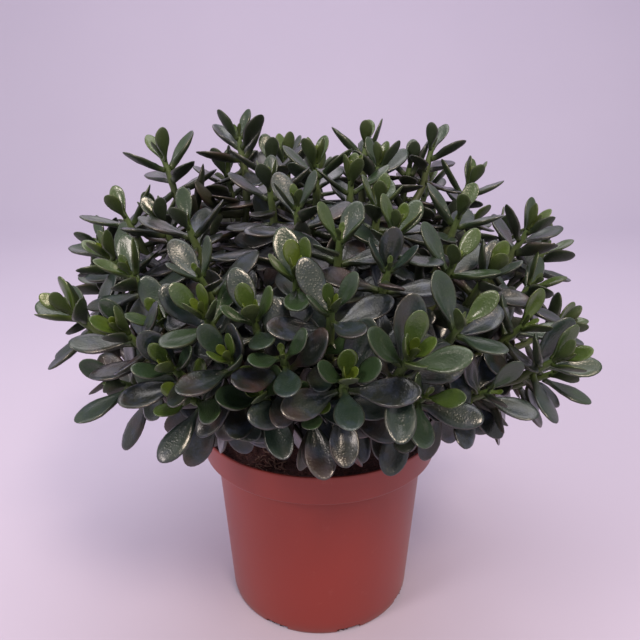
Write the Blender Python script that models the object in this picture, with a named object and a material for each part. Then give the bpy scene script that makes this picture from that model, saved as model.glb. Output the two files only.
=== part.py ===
# Potted jade plant: a thin moulded nursery pot filled with dark potting soil, and five rooted
# jade cuttings that have grown together into one wide, dense dome of fleshy leaves.
# Every length is in millimetres until an object is made.  +Z is up, the pot stands on z = 0 with
# its axis on the Z axis, and azimuths are counted from -Y towards +X.

import math

import bmesh
import bpy
from mathutils import Vector
from mathutils.bvhtree import BVHTree

for old in list(bpy.data.objects):
    bpy.data.objects.remove(old, do_unlink=True)

MILLIMETRE = 0.001

# The pot.
RIM_RADIUS = 85.0
RIM_HEIGHT = 138.0
BAND_HEIGHT = 21.0
BAND_LOWER_RADIUS = 82.0
BODY_TOP_RADIUS = 73.8
FOOT_RADIUS = 66.0
WALL = 1.6
FLOOR = 2.0
POT_FACETS = 64
SLOT_COUNT = 8
SLOT_FIRST = -27.0
SLOT_WIDTH = 17.0
SLOT_HEIGHT = 3.2
SLOT_DEPTH = 8.0
SLOT_MARGIN = 2.0

# The soil.
SOIL_LEVEL = 126.0
SOIL_FACETS = 48
SOIL_RINGS = 7
SOIL_BUMP = 0.9
GAP = 0.3

# The trunks, one for each rooted cutting.
TRUNK_AZIMUTHS = (20.0, 92.0, 164.0, 236.0, 308.0)
TRUNK_FOOT_REACH = 25.0
TRUNK_HEAD_REACH = 34.0
TRUNK_DEPTH = 11.0
TRUNK_RADIUS = 6.6
TRUNK_TAPER = 0.72
TRUNK_SIDES = 8
TRUNK_STEP = 8.0
TRUNK_STEPS = 8
TRUNK_BARE_STEPS = 1.5
SOCKET_SLACK = 0.5
SOCKET_SIDES = 16
SOCKET_TOP = 5.0

# Limbs, sprigs and leaves.
LIMB_HALF = 2.5
LIMB_PARTS = 3
SPRIG_HALF = 2.2
SPRIG_PARTS = 4
SIDE_SHOOT_HALF = 2.0
SIDE_SHOOT_PARTS = 3
BEARING_HALVES = (2.0, 2.0, 1.8, 1.6, 1.3)
STEM_PULL = 0.38
CROWN_HEART = 172.0
LIMB_SHARE = 0.45
CLEARANCE = 0.6
LEAF_WIDTH = 0.225
LEAF_THICKNESS = 0.058
LEAF_CURL = 0.10
LEAF_WIDEST = 1.65
LEAF_WAIST = 0.85
LEAF_ROUNDING = 0.35
LEAF_THINNING = 0.25
LEAF_THINNEST = 1.0
LEAF_STALK = 1.3
LEAF_RINGS = ((0.30, 0.80), (0.25, 0.62, 0.90))
LEAF_TILTS = (0, 12, -12, 24, -24, 38)
LEAF_YAWS = (0, 14, -14, 28, -28)
YAW_COST = 1.2
STEEPEST_LEAF = 68.0
PAIR_SHARES = (0.98, 1.0, 0.90, 0.70)
PAIR_PITCHES = (-8.0, 10.0, 32.0, 54.0)
PAIR_ENDS = (29.0, 20.5, 13.0, 6.5, 1.5)
PAIR_ORDER = (2, 3, 1, 0)
TIP_LEAD = 8.0
LARGE_LEAF = 25.0
NECK = 0.24

# The crown the leafy tips lie on, a flattened half ball.
CROWN_REACH = 152.0
CROWN_RISE = 108.0
CROWN_CENTRE = 200.0
CROWN_SPACING = 34.5
SKYWARD = 0.55
UPRIGHT_TIP = 0.2
FILL_TRIES = 260
FILL_LOWEST = 0.02
FILL_HIGHEST = 0.985
FILL_LEAF = 33.0
FILL_STEP = 0.414214
FILL_AZIMUTH = 137.508
FILL_TURN = 53.0
PAIR_REACH = 75.0
LIMB_TURN = 45.0
LIMB_CLIMB = 60.0
LIMB_LEAST_RISE = 0.35
BENDS = (0.0, 0.3, -0.3, 0.6, -0.6)
FORK_STEPS = (1, 2)
FORK_TURN = 40.0
FORK_REACH = 0.3
LEAST_VIGOUR = 0.88
VIGOUR_TURN = 12.9
LEAF_SHRINKS = (1.0, 0.86, 0.72, 0.58)
LOWEST_LEAF = 116.0
LEAF_ABOVE_RIM = 4.0
LEAF_BESIDE_RIM = 5.0


def around(azimuth, reach, height):
    """A point at an azimuth in degrees, a distance from the pot's axis and a height."""
    turn = math.radians(azimuth)
    return Vector((math.sin(turn) * reach, -math.cos(turn) * reach, height))


def painted(name, colour, roughness):
    """A plain non-metallic material."""
    material = bpy.data.materials.new(name)
    material.use_nodes = True
    shader = material.node_tree.nodes["Principled BSDF"]
    shader.inputs["Base Color"].default_value = (*colour, 1.0)
    shader.inputs["Roughness"].default_value = roughness
    shader.inputs["Metallic"].default_value = 0.0
    material.diffuse_color = (*colour, 1.0)
    return material


def shown(name, mesh, material):
    """An object of the part, in metres."""
    thing = bpy.data.objects.new(name, mesh)
    bpy.context.scene.collection.objects.link(thing)
    mesh.materials.append(material)
    return thing


# ---------------------------------------------------------------- pot
# One turned wall and floor, with a broad band below the rim, and drain slots through the corner
# between floor and wall.

BAND_FOOT = RIM_HEIGHT - BAND_HEIGHT
POT_PROFILE = (
    (0.0, FLOOR),
    (FOOT_RADIUS - WALL - 1.2, FLOOR),
    (FOOT_RADIUS - WALL, FLOOR + 1.5),
    (BODY_TOP_RADIUS - WALL, BAND_FOOT),
    (BODY_TOP_RADIUS - WALL + 0.8, BAND_FOOT + 0.8),
    (BAND_LOWER_RADIUS - WALL, BAND_FOOT + 1.2),
    (RIM_RADIUS - WALL - 0.2, RIM_HEIGHT - 1.0),
    (RIM_RADIUS - 1.1, RIM_HEIGHT),
    (RIM_RADIUS - 0.3, RIM_HEIGHT - 0.3),
    (RIM_RADIUS, RIM_HEIGHT - 1.2),
    (BAND_LOWER_RADIUS, BAND_FOOT + 0.4),
    (BAND_LOWER_RADIUS - 0.8, BAND_FOOT - 0.5),
    (BODY_TOP_RADIUS + 0.6, BAND_FOOT - 0.8),
    (BODY_TOP_RADIUS, BAND_FOOT - 1.8),
    (FOOT_RADIUS + 0.4, SLOT_HEIGHT + 3.0),
    (FOOT_RADIUS, 1.6),
    (FOOT_RADIUS - 1.4, 0.0),
    (0.0, 0.0),
)

pot_mesh = bpy.data.meshes.new("pot")
pot_points = [(radius * MILLIMETRE, 0.0, height * MILLIMETRE) for radius, height in POT_PROFILE]
pot_mesh.from_pydata(pot_points, [(i, i + 1) for i in range(len(pot_points) - 1)], [])
pot = shown("pot", pot_mesh, painted("terracotta_plastic", (0.25, 0.045, 0.032), 0.5))
turning = pot.modifiers.new("turn", "SCREW")
turning.axis = "Z"
turning.steps = POT_FACETS
turning.render_steps = POT_FACETS
turning.use_merge_vertices = True
turning.merge_threshold = 0.00001
turning.use_smooth_shade = True

slot_mesh = bpy.data.meshes.new("slots")
slot_builder = bmesh.new()
for number in range(SLOT_COUNT):
    azimuth = SLOT_FIRST + number * 360.0 / SLOT_COUNT
    outward = around(azimuth, 1.0, 0.0)
    sideways = Vector((-outward.y, outward.x, 0.0))
    corners = []
    for height in (-SLOT_MARGIN, SLOT_HEIGHT):
        for along, across in ((-1, -1), (1, -1), (1, 1), (-1, 1)):
            place = outward * (FOOT_RADIUS - SLOT_DEPTH if along < 0 else FOOT_RADIUS + SLOT_MARGIN * 2.0)
            place = place + sideways * across * SLOT_WIDTH * 0.5 + Vector((0.0, 0.0, height))
            corners.append(slot_builder.verts.new(place * MILLIMETRE))
    slot_builder.faces.new(corners[3::-1])
    slot_builder.faces.new(corners[4:])
    for side in range(4):
        after = (side + 1) % 4
        slot_builder.faces.new((corners[side], corners[after], corners[after + 4], corners[side + 4]))
slot_builder.to_mesh(slot_mesh)
slot_builder.free()
slots = bpy.data.objects.new("slot_cutter", slot_mesh)
bpy.context.scene.collection.objects.link(slots)
slots.hide_render = True
slots.display_type = "WIRE"
opening = pot.modifiers.new("slots", "BOOLEAN")
opening.operation = "DIFFERENCE"
opening.object = slots


# ---------------------------------------------------------------- trunks, as centre lines
# Each cutting stands in its own socket in the soil and leans outward a little.

def trunk_point(azimuth, height):
    """The middle of a trunk at a height."""
    foot = SOIL_LEVEL - TRUNK_DEPTH
    share = (height - foot) / (TRUNK_STEP * TRUNK_STEPS)
    reach = TRUNK_FOOT_REACH + (TRUNK_HEAD_REACH - TRUNK_FOOT_REACH) * share
    return around(azimuth, reach, height)


# ---------------------------------------------------------------- soil
# Fills the pot to just below the rim, with a slightly uneven top and one socket for each trunk.

def soil_height(x, y):
    """The uneven top of the soil."""
    wave = math.sin(x * 0.11 + 1.0) + math.sin(y * 0.13 + x * 0.05) + math.sin((x - y) * 0.21)
    return SOIL_LEVEL + SOIL_BUMP * wave / 2.0


soil_edge = BAND_LOWER_RADIUS - WALL + (SOIL_LEVEL - BAND_FOOT) / BAND_HEIGHT * 2.4 - 0.5
SOIL_SIDE = (
    (soil_edge, None),
    (BAND_LOWER_RADIUS - WALL - GAP - 0.2, BAND_FOOT + 1.2 + GAP + 0.2),
    (BODY_TOP_RADIUS - WALL - GAP + 0.4, BAND_FOOT + 1.2 + GAP),
    (BODY_TOP_RADIUS - WALL - GAP - 0.1, BAND_FOOT - 0.6),
    (FOOT_RADIUS - WALL - GAP - 0.1, FLOOR + 1.5),
    (FOOT_RADIUS - WALL - 1.6, FLOOR + GAP),
)

soil_mesh = bpy.data.meshes.new("soil")
soil_builder = bmesh.new()


def soil_ring(reach, height):
    """One ring of the soil's surface; with no height given it lies on the uneven top."""
    ring = []
    for facet in range(SOIL_FACETS):
        place = around(facet * 360.0 / SOIL_FACETS, reach, 0.0)
        place.z = soil_height(place.x, place.y) if height is None else height
        ring.append(soil_builder.verts.new(place * MILLIMETRE))
    return ring


soil_rings = [soil_ring(soil_edge * (step + 1) / SOIL_RINGS, None) for step in range(SOIL_RINGS)]
soil_rings += [soil_ring(reach, height) for reach, height in SOIL_SIDE[1:]]
top_middle = soil_builder.verts.new(Vector((0, 0, soil_height(0.0, 0.0))) * MILLIMETRE)
low_middle = soil_builder.verts.new(Vector((0, 0, FLOOR + GAP)) * MILLIMETRE)
for facet in range(SOIL_FACETS):
    after = (facet + 1) % SOIL_FACETS
    soil_builder.faces.new((top_middle, soil_rings[0][facet], soil_rings[0][after]))
    soil_builder.faces.new((low_middle, soil_rings[-1][after], soil_rings[-1][facet]))
    for inner, outer in zip(soil_rings, soil_rings[1:]):
        soil_builder.faces.new((inner[facet], outer[facet], outer[after], inner[after]))
bmesh.ops.recalc_face_normals(soil_builder, faces=soil_builder.faces)
for face in soil_builder.faces:
    face.smooth = True
soil_builder.to_mesh(soil_mesh)
soil_builder.free()
soil = shown("soil", soil_mesh, painted("potting_soil", (0.018, 0.010, 0.008), 0.95))

socket_mesh = bpy.data.meshes.new("sockets")
socket_builder = bmesh.new()
for azimuth in TRUNK_AZIMUTHS:
    rings = []
    for height in (SOIL_LEVEL - TRUNK_DEPTH - SOCKET_SLACK, SOIL_LEVEL + SOCKET_TOP):
        middle = trunk_point(azimuth, height)
        wide = (TRUNK_RADIUS + SOCKET_SLACK) / math.cos(math.pi / SOCKET_SIDES)
        rings.append([
            socket_builder.verts.new((middle + around(side * 360.0 / SOCKET_SIDES, wide, 0.0)) * MILLIMETRE)
            for side in range(SOCKET_SIDES)
        ])
    socket_builder.faces.new(rings[0][::-1])
    socket_builder.faces.new(rings[1])
    for side in range(SOCKET_SIDES):
        after = (side + 1) % SOCKET_SIDES
        socket_builder.faces.new((rings[0][side], rings[0][after], rings[1][after], rings[1][side]))
socket_builder.to_mesh(socket_mesh)
socket_builder.free()
sockets = bpy.data.objects.new("socket_cutter", socket_mesh)
bpy.context.scene.collection.objects.link(sockets)
sockets.hide_render = True
sockets.display_type = "WIRE"
rooting = soil.modifiers.new("sockets", "BOOLEAN")
rooting.operation = "DIFFERENCE"
rooting.object = sockets


# ---------------------------------------------------------------- growing
# A stem is a closed tube.  A leaf or a side shoot grows out of one of the tube's side faces, so
# each trunk and each sprig is one closed piece.  Solids already laid down are kept in one list,
# and a new leaf takes the first free pose beside them.

laid = []


class Solid:
    """A small closed shape that later growth has to stay clear of."""

    def __init__(self, points, faces):
        self.tree = BVHTree.FromPolygons(points, faces)
        self.low = [min(point[axis] for point in points) for axis in range(3)]
        self.high = [max(point[axis] for point in points) for axis in range(3)]

    def meets(self, other):
        """Whether the two surfaces cross."""
        for axis in range(3):
            if self.low[axis] > other.high[axis] or self.high[axis] < other.low[axis]:
                return False
        return bool(self.tree.overlap(other.tree))


def prism(lower, upper):
    """The solid between two rings."""
    count = len(lower)
    faces = [tuple(range(count))[::-1], tuple(range(count, 2 * count))]
    for side in range(count):
        after = (side + 1) % count
        faces.append((side, after, after + count, side + count))
    return Solid(list(lower) + list(upper), faces)


def is_free(owner, whole, short):
    """Whether a shape clears all that is laid down; beside its own piece only its short form counts."""
    for other_owner, other_whole, other_short in laid:
        if other_owner is owner:
            if short.meets(other_short):
                return False
        elif whole.meets(other_whole):
            return False
    return True


class Body:
    """The points and faces of one closed piece while it grows."""

    def __init__(self, name):
        self.name = name
        self.points = []
        self.faces = []

    def ring(self, corners):
        """Adds corner points and returns their numbers."""
        first = len(self.points)
        self.points.extend(corners)
        return list(range(first, first + len(corners)))

    def wall(self, lower, upper, left_open=()):
        """Joins two rings by side faces and returns the sides left open for growth."""
        count = len(lower)
        opened = {}
        for side in range(count):
            after = (side + 1) % count
            face = (lower[side], lower[after], upper[after], upper[side])
            if side in left_open:
                opened[side] = face
            else:
                self.faces.append(face)
        return opened

    def turned(self, base, ring):
        """The ring started at the corner that twists least against the base."""
        def twist(start):
            return sum(
                (self.points[base[i]] - self.points[ring[(i + start) % 4]]).length_squared for i in range(4)
            )
        start = min(range(4), key=twist)
        return ring[start:] + ring[:start]

    def finished(self, material):
        """The object made from the grown piece."""
        mesh = bpy.data.meshes.new(self.name)
        mesh.from_pydata([point * MILLIMETRE for point in self.points], [], self.faces)
        for polygon in mesh.polygons:
            polygon.use_smooth = True
        mesh.set_sharp_from_angle(angle=math.radians(50.0))
        return shown(self.name, mesh, material)


def square(centre, forward, sideways, half):
    """Four corners round a stem, one side face facing sideways."""
    first = (sideways - forward * sideways.dot(forward)).normalized()
    second = forward.cross(first)
    return [
        centre + (first * one + second * two) * half
        for one, two in ((1, -1), (1, 1), (-1, 1), (-1, -1))
    ]


def curve(start, start_pull, end_pull, end, share):
    """A point on the smooth line between two ends."""
    rest = 1.0 - share
    return (
        start * rest ** 3
        + start_pull * 3.0 * rest ** 2 * share
        + end_pull * 3.0 * rest * share ** 2
        + end * share ** 3
    )


def leaf_width(share):
    """Half the width of a spoon-shaped leaf, as a share of its length."""
    return LEAF_WIDTH * math.sin(math.pi * share ** LEAF_WIDEST) ** (LEAF_WAIST - LEAF_ROUNDING * share)


def leaf_ring(base, along, face, length, share, grow):
    """Right edge, upper middle, left edge and lower middle of a leaf at a share of its length."""
    centre = base + along * length * share + face * length * LEAF_CURL * share * share
    right = face.cross(along)
    half = max(LEAF_STALK, length * leaf_width(share)) + grow
    thick = max(LEAF_THINNEST, length * LEAF_THICKNESS * (1.0 - LEAF_THINNING * share)) + grow
    return [centre + right * half, centre + face * thick, centre - right * half, centre - face * thick]


def leaf_tip(base, along, face, length, grow):
    """The point of a leaf."""
    return base + along * (length + grow) + face * length * LEAF_CURL


def leaf_shares(length):
    """Where along a leaf its rings lie; a large leaf has one more."""
    return LEAF_RINGS[length > LARGE_LEAF]


def leaf_solid(first, base, along, face, length, grow):
    """The closed shape of a leaf from its first ring to its tip."""
    rings = [first]
    rings += [leaf_ring(base, along, face, length, share, grow) for share in leaf_shares(length)]
    points = [point for ring in rings for point in ring] + [leaf_tip(base, along, face, length, grow)]
    faces = [(3, 2, 1, 0)]
    for low in range(0, (len(rings) - 1) * 4, 4):
        for side in range(4):
            after = (side + 1) % 4
            faces.append((low + side, low + after, low + after + 4, low + side + 4))
    last = (len(rings) - 1) * 4
    faces += [(last + side, last + (side + 1) % 4, len(points) - 1) for side in range(4)]
    return Solid(points, faces)


def clear_of_pot(points):
    """Whether leaf points stay above the rim or well outside it."""
    for point in points:
        reach = math.hypot(point.x, point.y)
        if point.z < RIM_HEIGHT + LEAF_ABOVE_RIM and reach < RIM_RADIUS + LEAF_BESIDE_RIM:
            return False
        if point.z < LOWEST_LEAF:
            return False
    return True


POSES = sorted(
    ((tilt, yaw) for tilt in LEAF_TILTS for yaw in LEAF_YAWS),
    key=lambda pose: abs(pose[0]) + abs(pose[1]) * YAW_COST,
)


def leaf_poses(axis, outward, pitch, length):
    """The directions, upper faces and lengths a leaf may take, the most natural first."""
    across = axis.cross(outward)
    for shrink in LEAF_SHRINKS:
        for tilt, yaw in POSES:
            lift = math.radians(min(STEEPEST_LEAF, pitch + tilt))
            swing = math.radians(yaw)
            flat = outward * math.cos(swing) + across * math.sin(swing)
            along = (flat * math.cos(lift) + axis * math.sin(lift)).normalized()
            face = (axis - along * axis.dot(along)).normalized()
            yield along, face, length * shrink


def grow_leaf(body, quad, axis, outward, pitch, length):
    """Grows a leaf from an open side face in the first free pose, or closes the face."""
    corners = [body.points[number] for number in quad]
    root = corners[1:] + corners[:1]
    base = sum(corners, Vector()) / 4.0
    for along, face, size in leaf_poses(axis, outward, pitch, length):
        neck = leaf_ring(base, along, face, size, NECK, CLEARANCE * 0.5)
        whole = leaf_solid(root, base, along, face, size, CLEARANCE)
        short = leaf_solid(neck, base, along, face, size, CLEARANCE * 0.5)
        if not is_free(body, whole, short):
            continue
        rings = [leaf_ring(base, along, face, size, share, 0.0) for share in leaf_shares(size)]
        tip = leaf_tip(base, along, face, size, 0.0)
        if not clear_of_pot([point for ring in rings for point in ring] + [tip]):
            continue
        lower = list(quad)
        for right, upper, left, under in rings:
            numbers = body.ring([under, right, upper, left])
            body.wall(lower, numbers)
            lower = numbers
        end = body.ring([tip])[0]
        for side in range(4):
            body.faces.append((lower[side], lower[(side + 1) % 4], end))
        laid.append((
            body,
            leaf_solid(root, base, along, face, size, 0.0),
            leaf_solid(leaf_ring(base, along, face, size, NECK, 0.0), base, along, face, size, 0.0),
        ))
        return True
    body.faces.append(tuple(quad))
    return False


# ---------------------------------------------------------------- the crown
# Where the leafy tips lie.  Each row is one sprig: its name, its leaves' length, and for each of
# its two tips the azimuth, the distance from the axis, the height and the turn of its leaf pairs.

SPRIGS = (
    ("skirt_left", 34, (-24, 148, 214, 75), (-42, 148, 210, 170)),
    ("skirt_right", 33, (33, 148, 212, 40), (46, 160, 222, 55)),
    ("crown_left", 33, (-110, 55, 321, 155), (-92, 97, 309, 40)),
    ("crown_front", 31, (-5, 25, 308, 65), (-30, 55, 298, 110)),
    ("crown_middle", 29, (25, 42, 300, 80), (24, 76, 291, 140)),
    ("crown_right", 30, (105, 60, 304, 160), (95, 95, 292, 0)),
    ("crown_back_right", 30, (125, 36, 316, 135), (100, 72, 315, 130)),
    ("shoulder_right", 30, (52, 96, 285, 15), (22, 100, 283, 125)),
    ("side_high_right", 31, (72, 126, 272, 40), (85, 141, 254, 105)),
    ("side_right", 31, (43, 124, 260, 125), (66, 132, 244, 105)),
    ("face_right", 33, (26, 146, 248, 15), (48, 140, 234, 50)),
    ("face_high", 31, (5, 108, 282, 150), (-8, 82, 293, 35)),
    ("face_middle_right", 31, (15, 122, 270, 165), (34, 118, 268, 20)),
    ("face_middle", 33, (2, 142, 258, 30), (0, 130, 234, 0)),
    ("face_middle_left", 32, (-5, 124, 268, 20), (-12, 140, 252, 30)),
    ("face_high_left", 32, (-28, 122, 264, 60), (-45, 98, 281, 130)),
    ("face_left", 33, (-21, 142, 252, 165), (-34, 134, 242, 50)),
    ("low_left", 34, (-15, 150, 236, 145), (-25, 154, 230, 45)),
    ("side_low_left", 33, (-36, 152, 240, 130), (-58, 154, 236, 110)),
    ("side_high_left", 32, (-80, 119, 278, 175), (-88, 138, 256, 155)),
    ("side_left", 31, (-68, 128, 258, 40), (-62, 100, 278, 10)),
    ("low_middle_left", 33, (-6, 150, 240, 15), (-11, 142, 218, 120)),
    ("low_middle", 35, (4, 156, 232, 0), (-2, 144, 214, 105)),
    ("low_right", 35, (14, 156, 240, 75), (19, 146, 216, 150)),
)


def crown_slope(place):
    """The outward direction of the crown's surface at a point."""
    flat = 1.0 / CROWN_REACH ** 2
    return Vector((
        place.x * flat, place.y * flat, (place.z - CROWN_CENTRE) / CROWN_RISE ** 2
    )).normalized()


class Tip:
    """The end of a leafy shoot: its place, its direction and the turn of its leaf pairs."""

    def __init__(self, place, turn):
        self.axis = (crown_slope(place) + Vector((0.0, 0.0, SKYWARD))).normalized()
        self.place = place + self.axis * TIP_LEAD
        level = Vector((0.0, 0.0, 1.0)) - self.axis * self.axis.z
        if level.length < UPRIGHT_TIP:
            level = Vector((place.x, place.y, 0.0))
            level -= self.axis * self.axis.dot(level)
        level.normalize()
        swing = math.radians(turn)
        self.sideways = level * math.cos(swing) + self.axis.cross(level) * math.sin(swing)

    def bearing_path(self):
        """The straight leafy end of the shoot, with a leaf pair between one ring and the next."""
        return [(self.place - self.axis * back, self.axis) for back in PAIR_ENDS]


sprigs = []
for name, leaf, *tips in SPRIGS:
    ends = [Tip(around(azimuth, reach, height), turn) for azimuth, reach, height, turn in tips]
    sprigs.append((name, float(leaf), ends))

# The rest of the crown is filled evenly, wherever no chosen tip is near.
taken = [tip.place for name, leaf, tips in sprigs for tip in tips]
added = []
for number in range(FILL_TRIES):
    rise = FILL_LOWEST + (FILL_HIGHEST - FILL_LOWEST) * ((number * FILL_STEP) % 1.0)
    height = CROWN_CENTRE + CROWN_RISE * rise
    place = around(number * FILL_AZIMUTH, CROWN_REACH * math.sqrt(1.0 - rise * rise), height)
    if all((place - other).length > CROWN_SPACING for other in taken):
        taken.append(place)
        added.append(Tip(place, (number * FILL_TURN) % 90.0))

while added:
    first = added.pop(0)
    near = [tip for tip in added if (tip.place - first.place).length < PAIR_REACH]
    ends = [first]
    if near:
        second = min(near, key=lambda tip: (tip.place - first.place).length)
        added.remove(second)
        ends.append(second)
    sprigs.append((f"back_{len(sprigs) - len(SPRIGS) + 1}", FILL_LEAF, ends))


# ---------------------------------------------------------------- trunks and limbs

class Trunk(Body):
    """A woody stem with a limb out of one of its side faces for each sprig it carries."""

    def __init__(self, number, azimuth):
        super().__init__(f"stem_{number + 1}")
        self.azimuth = azimuth
        self.faces_left = []
        self.solids = []
        foot = SOIL_LEVEL - TRUNK_DEPTH
        lowest_limb = SOIL_LEVEL + TRUNK_STEP * TRUNK_BARE_STEPS
        below = None
        for step in range(TRUNK_STEPS + 1):
            height = foot + step * TRUNK_STEP
            radius = TRUNK_RADIUS * (1.0 - (1.0 - TRUNK_TAPER) * step / TRUNK_STEPS)
            middle = trunk_point(azimuth, height)
            sides = [
                middle + around((side + 0.5) * 360.0 / TRUNK_SIDES, radius, 0.0)
                for side in range(TRUNK_SIDES)
            ]
            ring = self.ring(sides)
            if below is None:
                self.faces.append(tuple(ring[::-1]))
            else:
                can_open = range(TRUNK_SIDES) if height > lowest_limb else ()
                self.faces_left += self.wall(below, ring, can_open).values()
                self.solids.append(prism([self.points[n] for n in below], sides))
            below = ring
        self.faces.append(tuple(below))
        for solid in self.solids:
            laid.append((self, solid, solid))

    def heart(self):
        """The place its limbs spread from."""
        return trunk_point(self.azimuth, CROWN_HEART)


trunks = [Trunk(number, azimuth) for number, azimuth in enumerate(TRUNK_AZIMUTHS)]


def stem_path(start, start_way, end, end_way, count):
    """Points and directions along a smooth stem, without its start."""
    pull = (end - start).length * STEM_PULL
    places = [
        curve(start, start + start_way * pull, end - end_way * pull, end, step / count)
        for step in range(count + 1)
    ]
    ways = [(after - before).normalized() for before, after in zip(places, places[2:])]
    return list(zip(places[1:], ways + [end_way]))


def stem_shapes(lower, path, sideways, halves):
    """A stem's rings, the solids between them, and slightly wider solids to test with."""
    rings = [square(place, way, sideways, half) for (place, way), half in zip(path, halves)]
    wide = [square(place, way, sideways, half + CLEARANCE) for (place, way), half in zip(path, halves)]
    solids = [prism(below, above) for below, above in zip([lower] + rings, rings)]
    checks = [prism(below, above) for below, above in zip([lower] + wide, wide)]
    return rings, solids, checks


def side_view(corners):
    """The middle of a side face and the way it looks."""
    middle = sum(corners, Vector()) / len(corners)
    return middle, (corners[1] - corners[0]).cross(corners[3] - corners[0]).normalized()


def lay_limb(trunk, goal, way):
    """Grows a limb from the trunk to a goal and returns its last solid."""
    choices = []
    for face in trunk.faces_left:
        corners = [trunk.points[number] for number in face]
        middle, outward = side_view(corners)
        reach = goal - middle
        heading = reach.normalized()
        turn = LIMB_TURN * (1.0 - outward.dot(heading))
        climb = LIMB_CLIMB * max(0.0, LIMB_LEAST_RISE - heading.z)
        choices.append((reach.length + turn + climb, face, corners, middle, outward))
    choices.sort(key=lambda choice: choice[0])
    upright = Vector((0.0, 0.0, 1.0))
    for own_counts in (True, False):
        for cost, face, corners, middle, outward in choices:
            path = stem_path(middle, outward, goal, way, LIMB_PARTS)
            rings, solids, checks = stem_shapes(corners, path, upright, [LIMB_HALF] * LIMB_PARTS)
            blocked = False
            for number, check in enumerate(checks):
                for owner, other, short in laid:
                    root = number == 0 and other in trunk.solids
                    if owner is trunk and (root or not own_counts):
                        continue
                    blocked = blocked or check.meets(other)
            if blocked:
                continue
            trunk.faces_left.remove(face)
            below = list(face)
            for ring in rings:
                numbers = trunk.turned(below, trunk.ring(ring))
                trunk.wall(below, numbers)
                below = numbers
            trunk.faces.append(tuple(below))
            laid.extend((trunk, solid, solid) for solid in solids)
            return solids[-1]
    return None


# ---------------------------------------------------------------- sprigs

class Sprig(Body):
    """A green stem with one or two leafy ends, butted onto the end of a limb."""

    def __init__(self, name, leaf, tips):
        super().__init__("sprig_" + name)
        self.leaf = leaf
        self.tips = tips
        self.buds = []
        middle = sum((tip.place for tip in tips), Vector()) / len(tips)
        self.trunk = min(trunks, key=lambda trunk: (trunk.heart() - middle).length)
        heart = self.trunk.heart()
        self.way = (middle - heart).normalized()
        self.root = heart + (middle - heart) * LIMB_SHARE
        self.limb = lay_limb(self.trunk, self.root, self.way)

    def fitted(self, lower, path, sideways, halves, touching):
        """The rings and solids of a stem if its way is free, otherwise nothing."""
        rings, solids, checks = stem_shapes(lower, path, sideways, halves)
        for number, check in enumerate(checks):
            for owner, other, short in laid:
                if number < 2 and other in touching:
                    continue
                if check.meets(other):
                    return None
        return rings, solids

    def add_shoot(self, below, rings, tip, fork=None):
        """Adds a shoot's rings.  Its last faces stay open in pairs for leaves, and one for a fork."""
        first_pair = len(rings) - len(PAIR_SHARES)
        forked = None
        offset = 0
        for step, ring in enumerate(rings):
            numbers = self.ring(ring)
            if step == 0:
                offset = self.turned(below, numbers)[0] - numbers[0]
            numbers = numbers[offset:] + numbers[:offset]
            pair = step - first_pair
            opened = [(side - offset) % 4 for side in ((0, 2) if pair % 2 == 0 else (1, 3)) if pair >= 0]
            if fork and fork[0] == step:
                opened = [fork[1]]
            for face in self.wall(below, numbers, opened).values():
                if pair < 0:
                    forked = face
                    continue
                middle, outward = side_view([self.points[number] for number in face])
                outward = (outward - tip.axis * outward.dot(tip.axis)).normalized()
                self.buds.append((pair, face, tip.axis, outward))
            below = numbers
        self.faces.append(tuple(below))
        return forked

    def find_fork(self, rings, solids):
        """The side face of the main shoot that the second tip is best reached from."""
        tip = self.tips[1]
        bearing = tip.bearing_path()
        choices = []
        for step in FORK_STEPS:
            lower, upper = rings[step - 1], rings[step]
            for side in range(4):
                after = (side + 1) % 4
                corners = [lower[side], lower[after], upper[after], upper[side]]
                middle, outward = side_view(corners)
                reach = bearing[0][0] - middle
                turn = FORK_TURN * (1.0 - outward.dot(reach.normalized()))
                cost = reach.length * FORK_REACH + turn
                choices.append((cost, step, side, corners, middle, outward))
        halves = [SIDE_SHOOT_HALF] * (SIDE_SHOOT_PARTS - 1) + list(BEARING_HALVES)
        for cost, step, side, corners, middle, outward in sorted(choices, key=lambda choice: choice[0]):
            path = stem_path(middle, outward, bearing[0][0], tip.axis, SIDE_SHOOT_PARTS)
            beside = solids[step - 1:step + 2]
            found = self.fitted(corners, path[:-1] + bearing, tip.sideways, halves, beside)
            if found:
                return step, side, found
        return None

    def grow_stems(self):
        """Lays the main shoot and the side shoot, and tells whether there was room for them."""
        tip = self.tips[0]
        start = self.root + self.way * GAP
        base = square(start, self.way, tip.sideways, SPRIG_HALF)
        bearing = tip.bearing_path()
        halves = [SPRIG_HALF] * (SPRIG_PARTS - 1) + list(BEARING_HALVES)
        aside = self.way.cross(tip.sideways).normalized()
        found = None
        for bend in BENDS:
            way = (self.way + aside * bend).normalized()
            path = stem_path(start, way, bearing[0][0], tip.axis, SPRIG_PARTS)
            found = self.fitted(base, path[:-1] + bearing, tip.sideways, halves, (self.limb,))
            if found:
                break
        if not found:
            return False
        rings, solids = found
        laid.extend((self, solid, solid) for solid in solids)
        fork = self.find_fork(rings, solids) if len(self.tips) > 1 else None
        below = self.ring(base)
        self.faces.append(tuple(below[::-1]))
        forked = self.add_shoot(below, rings, tip, fork)
        if fork:
            side_rings, side_solids = fork[2]
            laid.extend((self, solid, solid) for solid in side_solids)
            self.add_shoot(list(forked), side_rings, self.tips[1])
        return True


grown = [Sprig(name, leaf, tips) for name, leaf, tips in sprigs]
grown = [sprig for sprig in grown if sprig.limb and sprig.grow_stems()]

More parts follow.
